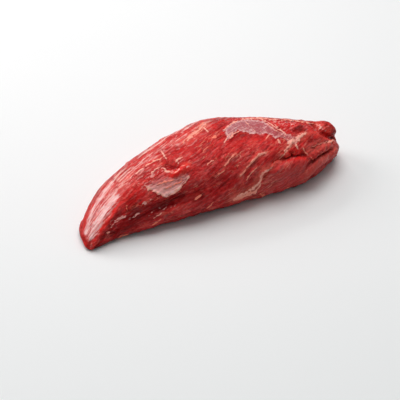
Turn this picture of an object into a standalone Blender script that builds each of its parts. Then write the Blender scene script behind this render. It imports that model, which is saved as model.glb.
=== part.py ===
"""Raw beef tri-tip roast, trimmed and whole: one solid muscle lying on its flat side.

The pointed tip is at -X and the blunt butt at +X. The thin curved edge is the back (+Y) and the steep cut
side is the front (-Y). The origin is on the surface that the meat lies on, under the middle of its bounding
box. Lengths are in metres.
"""

from collections import namedtuple

import bmesh
import bpy
import numpy as np

PART_NAME = "beef_tri_tip"

# Driving dimensions
LENGTH = 0.268
TIP_ROUND = 0.005  # radius that rounds the tip off in plan
BUTT_ROUND = 0.016  # radius that rounds the butt off in plan
WAIST = 0.38  # height of the widest line, as a share of the height there
SINK = 0.12  # how far the plain underside would hang below the table, as a share of the height there
LOW_CORNER = 2.6  # fullness of the two lower corners of a section
WANDER = 0.00028  # size of the slow unevenness

# Sections across the muscle. A corner's fullness is 1 for a straight slope, 2 for an ellipse and more for a
# box. Columns: from the tip, back edge, front edge, top, crown (share of the width from the front edge),
# fullness of the front upper corner, fullness of the back upper corner
SECTIONS = np.array(
    [
        (0.000, 0.003, -0.012, 0.007, 0.12, 1.40, 1.9),
        (0.006, 0.016, -0.012, 0.013, 0.16, 1.40, 2.0),
        (0.014, 0.025, -0.012, 0.020, 0.20, 1.35, 2.0),
        (0.028, 0.036, -0.012, 0.029, 0.28, 1.35, 2.1),
        (0.045, 0.044, -0.014, 0.037, 0.33, 1.50, 2.1),
        (0.075, 0.0545, -0.0175, 0.046, 0.42, 1.90, 2.1),
        (0.115, 0.063, -0.025, 0.053, 0.46, 2.30, 2.1),
        (0.155, 0.067, -0.029, 0.055, 0.50, 2.50, 2.0),
        (0.190, 0.053, -0.033, 0.0515, 0.48, 2.50, 2.1),
        (0.220, 0.038, -0.031, 0.0475, 0.45, 2.40, 2.2),
        (0.246, 0.022, -0.021, 0.041, 0.45, 2.30, 2.2),
        (0.268, 0.006, -0.005, 0.029, 0.50, 2.20, 2.2),
    ]
)

# Seams, folds and lobes that stand out from the plain sections or sink into them. A route's anchors are
# (distance from the tip, degrees round the section from the back edge over the top). The height dies away
# at both ends over the share of the route that fade gives.
Form = namedtuple("Form", "route half_width height fade")
FORMS = {
    "front valley": Form(
        ((0.040, 170), (0.064, 163), (0.080, 158), (0.100, 158), (0.120, 156), (0.150, 152)),
        half_width=0.0050,
        height=-0.0038,
        fade=0.35,
    ),
    "roll below the front valley": Form(
        ((0.044, 186), (0.060, 184), (0.078, 182), (0.106, 180), (0.150, 176)),
        half_width=0.0065,
        height=0.0024,
        fade=0.3,
    ),
    "butt crease": Form(
        ((0.176, 149), (0.187, 141), (0.196, 142), (0.208, 141), (0.218, 148)),
        half_width=0.0038,
        height=-0.0048,
        fade=0.15,
    ),
    "left edge of the front lobe": Form(
        ((0.188, 140), (0.176, 155), (0.167, 168), (0.160, 184)),
        half_width=0.0032,
        height=-0.0020,
        fade=0.3,
    ),
    "front lobe": Form(
        ((0.176, 168), (0.196, 158), (0.216, 157)),
        half_width=0.0090,
        height=0.0030,
        fade=0.2,
    ),
    "low fold of the butt": Form(
        ((0.208, 183), (0.226, 167), (0.236, 167), (0.249, 173), (0.254, 160)),
        half_width=0.0034,
        height=0.0026,
        fade=0.15,
    ),
    "gap between the folds": Form(
        ((0.216, 155), (0.230, 158), (0.246, 162)),
        half_width=0.0028,
        height=-0.0024,
        fade=0.2,
    ),
    "high fold of the butt": Form(
        ((0.216, 153), (0.231, 148), (0.248, 143)),
        half_width=0.0034,
        height=0.0023,
        fade=0.2,
    ),
    "notch between the butt's lobes": Form(
        ((0.244, 84), (0.245, 106), (0.252, 124), (0.260, 138), (0.265, 146)),
        half_width=0.0042,
        height=-0.0062,
        fade=0.0,
    ),
    "upper lobe of the butt": Form(
        ((0.258, 82), (0.260, 106)),
        half_width=0.0070,
        height=0.0032,
        fade=0.0,
    ),
    "lower lobe of the butt": Form(
        ((0.252, 158), (0.262, 170)),
        half_width=0.0085,
        height=0.0035,
        fade=0.0,
    ),
    "pocket near the butt": Form(
        ((0.212, 97), (0.219, 94), (0.228, 91), (0.234, 104)),
        half_width=0.0040,
        height=-0.0026,
        fade=0.3,
    ),
    "scar on the tip's side": Form(
        ((0.089, 94), (0.092, 97), (0.097, 107), (0.101, 118)),
        half_width=0.0036,
        height=-0.0026,
        fade=0.3,
    ),
    "raised scrap at the scar": Form(
        ((0.087, 120), (0.097, 117), (0.108, 112)),
        half_width=0.0032,
        height=0.0027,
        fade=0.3,
    ),
    "valley behind the rim": Form(
        ((0.022, 68), (0.056, 64), (0.085, 62), (0.118, 64), (0.155, 60)),
        half_width=0.0060,
        height=-0.0013,
        fade=0.3,
    ),
    "seam along the back": Form(
        ((0.040, 6), (0.095, 15), (0.150, 12), (0.205, 20), (0.245, 36)),
        half_width=0.0055,
        height=-0.0030,
        fade=0.25,
    ),
    "roll below the back seam": Form(
        ((0.050, -8), (0.110, 0), (0.160, -4), (0.225, 3)),
        half_width=0.0080,
        height=0.0020,
        fade=0.3,
    ),
}
ROUTE_STEPS = 24  # straight pieces that a route is followed in

# Mesh
RINGS_ALONG = 160
POINTS_ROUND = 112
MOST_TRIANGLES = 10800  # what the fine mesh is thinned out to, with the most left where the meat bends
CROWD_MIDDLE = 0.12  # how far the rings crowd towards the middle, where a ball's own lie widest
CROWD_TOP = 0.30  # how far the points crowd towards the top, where the forms are

MEAT_COLOUR = (0.39, 0.045, 0.040, 1.0)
MEAT_ROUGHNESS = 0.35


def crowded(swing, turn):
    """The ball's even angles moved closer together where the muscle needs its points."""
    return swing + CROWD_MIDDLE * np.sin(2 * swing), turn + CROWD_TOP * np.cos(turn)


def smooth_through(places, values, at):
    """A cubic through the values at their places, with each slope taken from the neighbours."""
    slope = np.gradient(values, places)
    low = np.clip(np.searchsorted(places, at) - 1, 0, len(places) - 2)
    gap = places[low + 1] - places[low]
    s = (at - places[low]) / gap
    rise = 3 * s**2 - 2 * s**3
    return (
        values[low] * (1 - rise)
        + values[low + 1] * rise
        + gap * slope[low] * (s**3 - 2 * s**2 + s)
        + gap * slope[low + 1] * (s**3 - s**2)
    )


def rounded(depth, radius):
    """A quarter circle: 0 at an end of the muscle and 1 from radius inwards."""
    left = 1 - np.clip(depth / radius, 0, 1)
    return np.sqrt(1 - left**2)


def plain_point(swing, turn):
    """A point on the plain sections, without seams and lobes.

    swing runs from 0 at the tip to pi at the butt, so that both ends close round. turn is 0 at the back
    edge, a right angle on top and pi at the front edge, each quarter of a section being a superellipse.
    """
    along = LENGTH * (1 - np.cos(swing)) / 2
    places = np.arccos(1 - 2 * SECTIONS[:, 0] / LENGTH)
    back, front, top, crown, front_corner, back_corner = (
        smooth_through(places, column, swing) for column in SECTIONS[:, 1:].T
    )
    ends = rounded(along, TIP_ROUND) * rounded(LENGTH - along, BUTT_ROUND)
    side = np.cos(turn)
    lift = np.sin(turn)
    middle = front + crown * (back - front)
    waist = WAIST * top
    reach = np.where(side > 0, back - middle, middle - front) * ends
    rise = np.where(lift > 0, top - waist, waist + SINK * top) * ends
    corner = np.where(side > 0, back_corner, front_corner)
    corner = np.where(lift > 0, corner, LOW_CORNER)
    y = middle + reach * np.sign(side) * np.abs(side) ** (2 / corner)
    z = waist + rise * np.sign(lift) * np.abs(lift) ** (2 / corner)
    return np.stack([along, y, z], axis=-1)


def route_line(route):
    """Points on the plain sections, evenly between a route's anchors."""
    along, degrees = np.array(route, float).T
    share = np.linspace(0, len(along) - 1, ROUTE_STEPS)
    anchors = np.arange(len(along))
    swing = np.arccos(1 - 2 * np.interp(share, anchors, along) / LENGTH)
    return plain_point(swing, np.radians(np.interp(share, anchors, degrees)))


def nearness(points, line, half_width, fade):
    """A bell across a line of points: 1 on the line, less over the half width, dying away at both ends."""
    nearest = np.full(len(points), np.inf)
    place = np.zeros(len(points))
    for k, (start, end) in enumerate(zip(line[:-1], line[1:])):
        step = end - start
        share = np.clip((points - start) @ step / (step @ step), 0, 1)
        gap = ((points - start - share[:, None] * step) ** 2).sum(axis=1)
        place = np.where(gap < nearest, k + share, place)
        nearest = np.minimum(nearest, gap)
    bell = np.exp(-nearest / half_width**2)
    if fade == 0:
        return bell
    last = len(line) - 1
    strength = np.clip(np.minimum(place, last - place) / (fade * last), 0, 1)
    return bell * strength**2 * (3 - 2 * strength)


def wander(points):
    """Slow waves that keep the muscle from looking turned on a lathe."""
    x, y, z = points.T
    long_wave = np.sin(95 * x + 60 * y + 1.0)
    cross_wave = np.sin(60 * x - 110 * y + 80 * z + 2.1)
    short_wave = 0.7 * np.sin(170 * x + 90 * y - 60 * z)
    return WANDER * (long_wave + cross_wave + short_wave)


def relief(points):
    """How far each point stands out of the plain sections."""
    height = wander(points)
    for form in FORMS.values():
        line = route_line(form.route)
        height = height + form.height * nearness(points, line, form.half_width, form.fade)
    return height


def corners_of(mesh):
    """The mesh's vertex positions as rows."""
    flat = np.empty(len(mesh.vertices) * 3)
    mesh.vertices.foreach_get("co", flat)
    return flat.reshape(-1, 3)


def set_corners(mesh, points):
    mesh.vertices.foreach_set("co", points.ravel())
    mesh.update()


def ball_mesh():
    """A sphere whose poles become the tip and the butt."""
    mesh = bpy.data.meshes.new(PART_NAME)
    shell = bmesh.new()
    bmesh.ops.create_uvsphere(shell, u_segments=POINTS_ROUND, v_segments=RINGS_ALONG, radius=1.0)
    shell.to_mesh(mesh)
    shell.free()
    return mesh


def muscle():
    """The whole muscle: the ball drawn out over the sections, its seams and lobes, its flat underside."""
    mesh = ball_mesh()
    ball = corners_of(mesh)
    swing = np.arccos(np.clip(-ball[:, 2], -1, 1))
    turn = np.arctan2(ball[:, 1], ball[:, 0])
    plain = plain_point(*crowded(swing, turn))
    set_corners(mesh, plain)
    outward = np.array([corner.vector for corner in mesh.vertex_normals])
    points = plain + outward * relief(plain)[:, None]
    points[:, 2] = np.maximum(points[:, 2], 0.0)
    middle = (points.min(axis=0) + points.max(axis=0)) / 2
    points[:, :2] -= middle[:2]
    set_corners(mesh, points)
    mesh.shade_smooth()
    mesh.calc_loop_triangles()
    body = bpy.data.objects.new(PART_NAME, mesh)
    thinning = body.modifiers.new("thinning", "DECIMATE")
    thinning.ratio = MOST_TRIANGLES / len(mesh.loop_triangles)
    return body


def meat_material():
    material = bpy.data.materials.new("raw_beef")
    material.use_nodes = True
    shader = material.node_tree.nodes["Principled BSDF"]
    shader.inputs["Base Color"].default_value = MEAT_COLOUR
    shader.inputs["Roughness"].default_value = MEAT_ROUGHNESS
    shader.inputs["Metallic"].default_value = 0.0
    return material


def main():
    for leftover in list(bpy.data.objects):
        bpy.data.objects.remove(leftover)
    parts = bpy.data.collections.new("raw_beef_tri_tip")
    bpy.context.scene.collection.children.link(parts)
    body = muscle()
    body.data.materials.append(meat_material())
    parts.objects.link(body)


main()
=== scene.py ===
"""A whole raw beef tri-tip, trimmed, lying on a pale studio floor.

It is made in the part's own frame, in metres: the pointed tip at -X, the blunt butt at +X, the thin curved
edge at the back (+Y), the steep cut side at the front (-Y), and the flat side on the floor at z = 0.
"""

from itertools import product

import bpy
import numpy as np
from mathutils import Matrix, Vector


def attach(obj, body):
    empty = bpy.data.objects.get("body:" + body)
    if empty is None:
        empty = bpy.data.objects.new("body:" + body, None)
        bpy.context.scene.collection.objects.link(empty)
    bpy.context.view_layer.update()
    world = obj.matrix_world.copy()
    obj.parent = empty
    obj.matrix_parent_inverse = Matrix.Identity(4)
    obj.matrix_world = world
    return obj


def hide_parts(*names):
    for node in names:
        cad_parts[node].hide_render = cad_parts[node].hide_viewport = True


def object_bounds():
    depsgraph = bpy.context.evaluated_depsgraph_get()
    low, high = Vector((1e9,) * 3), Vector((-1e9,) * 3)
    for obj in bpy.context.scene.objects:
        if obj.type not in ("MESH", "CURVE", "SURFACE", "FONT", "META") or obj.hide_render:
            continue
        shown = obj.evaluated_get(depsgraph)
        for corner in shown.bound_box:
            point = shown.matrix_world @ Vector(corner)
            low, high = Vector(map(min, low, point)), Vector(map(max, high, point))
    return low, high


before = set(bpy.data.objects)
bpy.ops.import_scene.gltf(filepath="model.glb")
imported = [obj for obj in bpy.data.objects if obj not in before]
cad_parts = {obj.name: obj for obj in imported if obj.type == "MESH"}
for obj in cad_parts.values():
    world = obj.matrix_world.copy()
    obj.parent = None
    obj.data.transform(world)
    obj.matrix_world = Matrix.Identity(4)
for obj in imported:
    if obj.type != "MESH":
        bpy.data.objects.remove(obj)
cad_low, cad_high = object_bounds()
scene = bpy.context.scene

# The camera. It looks down on the meat from the front, a little from the tip's side. It comes first because
# the marks on the meat are placed by where this camera sees them.
PICTURE_SIDE = 400  # pixels
FOCAL_LENGTH = 915.0  # in pixels of that picture
SENSOR_WIDTH = 36.0  # millimetres
CAMERA_TURN = -28.0  # degrees round the meat from straight in front, towards the tip
CAMERA_LIFT = 44.0  # degrees above the floor
CAMERA_DISTANCE = 0.857
AIM = np.array([-0.0159, -0.0172, 0.0])  # the point on the floor in the middle of the picture


def looking_in(azimuth, lift):
    """Three directions of what looks at the meat: to its own right, up, and back from the meat.

    azimuth is in degrees counter-clockwise from the camera's right, and lift in degrees above the floor.
    """
    angle, raised = np.radians((azimuth + CAMERA_TURN, lift))
    right = np.array([-np.sin(angle), np.cos(angle), 0.0])
    level = np.cos(raised)
    back = np.array([np.cos(angle) * level, np.sin(angle) * level, np.sin(raised)])
    return right, np.cross(back, right), back


def stand(name, data, place, directions):
    """Puts a camera or a lamp into the scene at a place, its own x, y and z along three directions."""
    holder = bpy.data.objects.new(name, data)
    holder.matrix_world = Matrix.Translation(place) @ Matrix(np.stack(directions, axis=1)).to_4x4()
    scene.collection.objects.link(holder)
    return holder


to_the_right, upwards, towards_camera = looking_in(-90.0, CAMERA_LIFT)  # from in front
camera_place = AIM + CAMERA_DISTANCE * towards_camera
lens = bpy.data.cameras.new("camera")
lens.sensor_width = SENSOR_WIDTH
lens.lens = FOCAL_LENGTH * SENSOR_WIDTH / PICTURE_SIDE
scene.camera = stand("camera", lens, camera_place, (to_the_right, upwards, towards_camera))


def seen_at(points):
    """Where points show in the picture: pixels to the right and down from its top left corner."""
    away = points - camera_place
    scale = FOCAL_LENGTH / -(away @ towards_camera)
    across = PICTURE_SIDE / 2 + scale * (away @ to_the_right)
    down = PICTURE_SIDE / 2 - scale * (away @ upwards)
    return np.stack([across, down], axis=-1)


# The muscle: one long lean muscle, cut free of its neighbours and trimmed of its fat cap. The knife has
# left seams, folds, scraps of fat and patches of silverskin on it, and it lies on its flat side.
LENGTH = 0.268
TIP_ROUND = 0.005  # radius that rounds the tip off in plan
BUTT_ROUND = 0.016  # radius that rounds the butt off in plan
WAIST = 0.38  # height of the widest line, as a share of the height there
SINK = 0.12  # how far the plain underside would hang below the floor, as a share of the height there
LOW_CORNER = 2.6  # fullness of the two lower corners of a section
WANDER = 0.00028  # size of the slow unevenness

# Sections across the muscle. A corner's fullness is 1 for a straight slope, 2 for an ellipse and more for a
# box. Columns: from the tip, back edge, front edge, top, crown (share of the width from the front edge),
# fullness of the front upper corner, fullness of the back upper corner
SECTIONS = np.array([
    (0.000, 0.003, -0.012, 0.007, 0.12, 1.40, 1.9),
    (0.006, 0.016, -0.012, 0.013, 0.16, 1.40, 2.0),
    (0.014, 0.025, -0.012, 0.020, 0.20, 1.35, 2.0),
    (0.028, 0.036, -0.012, 0.029, 0.28, 1.35, 2.1),
    (0.045, 0.044, -0.014, 0.037, 0.33, 1.50, 2.1),
    (0.075, 0.0545, -0.0175, 0.046, 0.42, 1.90, 2.1),
    (0.115, 0.063, -0.025, 0.053, 0.46, 2.30, 2.1),
    (0.155, 0.067, -0.029, 0.055, 0.50, 2.50, 2.0),
    (0.190, 0.053, -0.033, 0.0515, 0.48, 2.50, 2.1),
    (0.220, 0.038, -0.031, 0.0475, 0.45, 2.40, 2.2),
    (0.246, 0.022, -0.021, 0.041, 0.45, 2.30, 2.2),
    (0.268, 0.006, -0.005, 0.029, 0.50, 2.20, 2.2),
])

# Seams, folds and lobes: half width, height and fade, then the route's anchors as (distance from the tip,
# degrees round the section from the back edge over the top). The height dies away at both ends over the share
# of the route that fade gives.
FORMS = {
    "front valley": (0.005, -0.0038, 0.35, (0.04, 170), (0.064, 163), (0.08, 158), (0.1, 158), (0.12, 156),
        (0.15, 152)),
    "front roll": (0.0065, 0.0024, 0.3, (0.044, 186), (0.06, 184), (0.078, 182), (0.106, 180), (0.15, 176)),
    "crease": (0.0038, -0.0048, 0.15, (0.176, 149), (0.187, 141), (0.196, 142), (0.208, 141), (0.218, 148)),
    "front lobe's left edge": (0.0032, -0.002, 0.3, (0.188, 140), (0.176, 155), (0.167, 168), (0.16, 184)),
    "front lobe": (0.009, 0.003, 0.2, (0.176, 168), (0.196, 158), (0.216, 157)),
    "low fold": (0.0034, 0.0026, 0.15, (0.208, 183), (0.226, 167), (0.236, 167), (0.249, 173), (0.254, 160)),
    "gap of the folds": (0.0028, -0.0024, 0.2, (0.216, 155), (0.23, 158), (0.246, 162)),
    "high fold": (0.0034, 0.0023, 0.2, (0.216, 153), (0.231, 148), (0.248, 143)),
    "notch": (0.0042, -0.0062, 0, (0.244, 84), (0.245, 106), (0.252, 124), (0.26, 138), (0.265, 146)),
    "upper lobe": (0.007, 0.0032, 0, (0.258, 82), (0.26, 106)),
    "lower lobe": (0.0085, 0.0035, 0, (0.252, 158), (0.262, 170)),
    "pocket": (0.004, -0.0026, 0.3, (0.212, 97), (0.219, 94), (0.228, 91), (0.234, 104)),
    "scar": (0.0036, -0.0026, 0.3, (0.089, 94), (0.092, 97), (0.097, 107), (0.101, 118)),
    "scar scrap": (0.0032, 0.0027, 0.3, (0.087, 120), (0.097, 117), (0.108, 112)),
    "rim valley": (0.006, -0.0013, 0.3, (0.022, 68), (0.056, 64), (0.085, 62), (0.118, 64), (0.155, 60)),
    "back seam": (0.0055, -0.003, 0.25, (0.04, 6), (0.095, 15), (0.15, 12), (0.205, 20), (0.245, 36)),
    "back roll": (0.008, 0.002, 0.3, (0.05, -8), (0.11, 0), (0.16, -4), (0.225, 3)),
}
ROUTE_STEPS = 24  # points that a route is followed by

# The skin's grid
RINGS = 290
AROUND = 333
SPARSE_BELOW = 0.0005  # height under which the skin lies on the floor
SPARSE = 0.35  # how close together the points are there, against the rest
TABLE_STEPS = 721  # points that lengths along and round the muscle are measured with

# The fibres run from the front left to the back right, more steeply towards the butt
FIBRE_SLOPE = 0.10
FIBRE_SLOPE_GAIN = 0.52
SLOPE_GROWS = (0.04, 0.23)  # distances from the tip
SLOPE_STEPS = 400  # points that the slope is added up over
GIRTH = 0.240  # the usual way round the muscle
GIRTH_FOLLOWS = 0.35  # how far the fibres' width follows the girth: 1 is fully
SMALLEST_RADIUS = 0.004

# Slow waves of the surface: radians in a metre of x, y and z, where each starts, and its share of WANDER
WAVES = ((95, 60, 0, 1.0, 1.0), (60, -110, 80, 2.1, 1.0), (170, 90, -60, 0.0, 0.7))
LATTICE = 48  # cells before the noise repeats
EDGE_WANDER = 0.8  # how far a mark's edge strays, in pixels
EDGE_LUMP = 0.003
FACES_CAMERA = 0.10  # how squarely skin that counts as fully shown faces the camera

# Relief finer than the forms: (length along the fibres, width across them, height)
BUNDLES = (0.026, 0.0055, 0.00060)
FIBRES = (0.012, 0.0024, 0.00035)
STRANDS = (0.005, 0.0011, 0.00008)


def smooth_through(places, values, at):
    """A cubic through the values at their places, with each slope taken from the neighbours."""
    slope = np.gradient(values, places)
    low = np.clip(np.searchsorted(places, at) - 1, 0, len(places) - 2)
    gap = places[low + 1] - places[low]
    s = (at - places[low]) / gap
    rise = 3 * s**2 - 2 * s**3
    return (
        values[low] * (1 - rise)
        + values[low + 1] * rise
        + gap * slope[low] * (s**3 - 2 * s**2 + s)
        + gap * slope[low + 1] * (s**3 - s**2)
    )


def rounded(depth, radius):
    """A quarter circle: 0 at an end of the muscle and 1 from radius inwards."""
    left = 1 - np.clip(depth / radius, 0, 1)
    return np.sqrt(1 - left**2)


def plain_point(swing, turn):
    """A point on the plain sections, without seams and lobes.

    swing runs from 0 at the tip to pi at the butt, so that both ends close round. turn is 0 at the back
    edge, a right angle on top and pi at the front edge, each quarter of a section being a superellipse.
    """
    along = LENGTH * (1 - np.cos(swing)) / 2
    places = np.arccos(1 - 2 * SECTIONS[:, 0] / LENGTH)
    back, front, top, crown, front_corner, back_corner = (
        smooth_through(places, column, swing) for column in SECTIONS[:, 1:].T
    )
    ends = rounded(along, TIP_ROUND) * rounded(LENGTH - along, BUTT_ROUND)
    side = np.cos(turn)
    lift = np.sin(turn)
    middle = front + crown * (back - front)
    waist = WAIST * top
    reach = np.where(side > 0, back - middle, middle - front) * ends
    rise = np.where(lift > 0, top - waist, waist + SINK * top) * ends
    corner = np.where(side > 0, back_corner, front_corner)
    corner = np.where(lift > 0, corner, LOW_CORNER)
    y = middle + reach * np.sign(side) * np.abs(side) ** (2 / corner)
    z = waist + rise * np.sign(lift) * np.abs(lift) ** (2 / corner)
    return np.stack([along + 0 * y, y, z], axis=-1)


def route_line(route):
    """Points on the plain sections, evenly between a route's anchors."""
    along, degrees = np.array(route, float).T
    share = np.linspace(0, len(along) - 1, ROUTE_STEPS)
    anchors = np.arange(len(along))
    swing = np.arccos(1 - 2 * np.interp(share, anchors, along) / LENGTH)
    return plain_point(swing, np.radians(np.interp(share, anchors, degrees)))


def nearest_on(points, line):
    """The distance from each point to a line of points, and how far along it that is, from 0 to 1."""
    line = np.asarray(line, float)
    nearest = np.full(len(points), np.inf)
    place = np.zeros(len(points))
    for k, (start, end) in enumerate(zip(line[:-1], line[1:])):
        step = end - start
        share = np.clip((points - start) @ step / (step @ step), 0, 1)
        gap = ((points - start - share[:, None] * step) ** 2).sum(axis=1)
        place = np.where(gap < nearest, k + share, place)
        nearest = np.minimum(nearest, gap)
    return np.sqrt(nearest), place / (len(line) - 1)


def smooth_step(low, high, value):
    """0 up to low and 1 from high on, with an S between them."""
    s = np.clip((value - low) / (high - low), 0, 1)
    return s * s * (3 - 2 * s)


def bell(distance, half_width):
    """1 at no distance and less over the half width: e to the power of minus their ratio squared."""
    return np.exp(-((distance / half_width) ** 2))


def nearness(points, line, half_width, fade=0.0, start=0.0):
    """A bell across a line. It dies away towards both ends over the share fade of the line, and with a start
    above 0, which is a share too, a little of it is left at the very ends.
    """
    gap, place = nearest_on(points, line)
    if fade == 0:
        return bell(gap, half_width)
    return bell(gap, half_width) * smooth_step(0, fade, np.minimum(place, 1 - place) + start)


def wander(points):
    """The sum of slow sine waves, which keep the muscle from looking turned on a lathe."""
    return WANDER * sum(share * np.sin(points @ pace + start) for *pace, start, share in WAVES)


def cloud(points, seed):
    """Smooth noise, mostly from -1 to 1: random slopes at the corners of a lattice, blended between them."""
    slopes = np.random.default_rng(seed).normal(size=(LATTICE, LATTICE, LATTICE, 3))
    cell = np.floor(points).astype(int)
    part = points - cell
    blend = part**3 * (part * (6 * part - 15) + 10)
    total = np.zeros(len(points))
    for corner in product((0, 1), repeat=3):
        slope = slopes[tuple(((cell + corner) % LATTICE).T)]
        weight = np.prod(np.where(corner, blend, 1 - blend), axis=1)
        total += weight * ((part - corner) * slope).sum(axis=1)
    return total


def fibre_shift(along):
    """How far round the section a fibre has moved by a distance from the tip: its slope, added up."""
    steps = np.linspace(0, LENGTH, SLOPE_STEPS)
    slope = FIBRE_SLOPE + FIBRE_SLOPE_GAIN * smooth_step(*SLOPE_GROWS, steps)
    total = np.concatenate([[0], np.cumsum((slope[1:] + slope[:-1]) / 2 * np.diff(steps))])
    return np.interp(along, steps, total) / GIRTH


def grid_places():
    """Swing, turn, share of the way round and girth at each point of the skin's grid, all rings by columns.

    The rings are evenly spaced along the top. The columns are evenly spaced round each ring, sparser where
    it lies on the floor, and they lean over so that they follow the fibres.
    """
    fine = np.linspace(0, np.pi, TABLE_STEPS)
    ridge = np.linalg.norm(np.diff(plain_point(fine, fine * 0 + np.pi / 2), axis=0), axis=1)
    ridge = np.concatenate([[0], np.cumsum(ridge)])
    swing = np.interp(np.linspace(0, ridge[-1], RINGS + 1)[1:-1], ridge, fine)[:, None]
    table_turn = np.broadcast_to(np.linspace(0, 2 * np.pi, TABLE_STEPS), (len(swing), TABLE_STEPS))
    table = plain_point(swing, table_turn)
    steps = np.linalg.norm(np.diff(table, axis=1), axis=2)
    spread = steps * np.where(table[:, 1:, 2] < SPARSE_BELOW, SPARSE, 1)
    travelled, spaced = (
        np.concatenate([0 * swing, np.cumsum(lengths, axis=1)], axis=1) for lengths in (steps, spread)
    )
    own_range = 2.0 * np.arange(len(swing))[:, None]  # keeps the rings apart in one long row
    along = LENGTH * (1 - np.cos(swing)) / 2
    wanted = (np.arange(AROUND) / AROUND - fibre_shift(along)) % 1 + own_range
    known = (spaced / spaced[:, -1:] + own_range).ravel()
    turn = np.interp(wanted, known, table_turn.ravel())
    round_share = np.interp(wanted, known, (travelled / travelled[:, -1:]).ravel())
    return swing + 0 * turn, turn, round_share, travelled[:, -1:] + 0 * turn


def outward_normals(grid):
    """The cross product of the steps round and along the skin at each grid point, one long."""
    around = np.roll(grid, -1, axis=1) - np.roll(grid, 1, axis=1)
    normals = np.cross(around, np.gradient(grid, axis=0))
    return normals / np.linalg.norm(normals, axis=2, keepdims=True)


def fibre_places(along, round_share, girth):
    """Places measured along and across the fibres, which close up all the way round the muscle.

    The first number is the length along a fibre. The other two are a circle whose radius follows the
    girth and whose angle is the same all along a fibre.
    """
    usual = GIRTH / (2 * np.pi)
    radius = np.maximum(girth / (2 * np.pi), SMALLEST_RADIUS)
    radius = usual * (radius / usual) ** GIRTH_FOLLOWS
    angle = 2 * np.pi * (round_share + fibre_shift(along))
    return np.stack([along, radius * np.cos(angle), radius * np.sin(angle)], axis=-1)


swing, turn, round_share, girth = grid_places()
grid = plain_point(swing, turn)
places = fibre_places(grid[..., 0], round_share, girth).reshape(-1, 3)
plain = grid.reshape(-1, 3)
swell = wander(plain)
# How deep the forms sink, gathered for the painted shade in their hollows
hollow = np.zeros(len(plain))
for half_width, height, fade, *route in FORMS.values():
    close = nearness(plain, route_line(route), half_width, fade)
    swell += height * close
    hollow += max(-height, 0) * close
grid = grid + outward_normals(grid) * swell.reshape(RINGS - 1, AROUND, 1)
grid[..., 2] = np.maximum(grid[..., 2], 0)
middle = (grid.reshape(-1, 3).min(axis=0) + grid.reshape(-1, 3).max(axis=0)) / 2
to_centre = (np.array(cad_low + cad_high) / 2 - middle)[:2]
grid[..., :2] += to_centre

normals = outward_normals(grid).reshape(-1, 3)
skin = grid.reshape(-1, 3)
edge_lumps = np.stack([cloud(places / EDGE_LUMP, seed=seed) for seed in (11, 12)], axis=-1)
seen = seen_at(skin) + EDGE_WANDER * edge_lumps
to_camera = camera_place - skin
to_camera /= np.linalg.norm(to_camera, axis=1, keepdims=True)
shown = smooth_step(0.0, FACES_CAMERA, (normals * to_camera).sum(axis=1))
in_view = shown > 0.5
out_of_sight = 1 - shown
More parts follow.
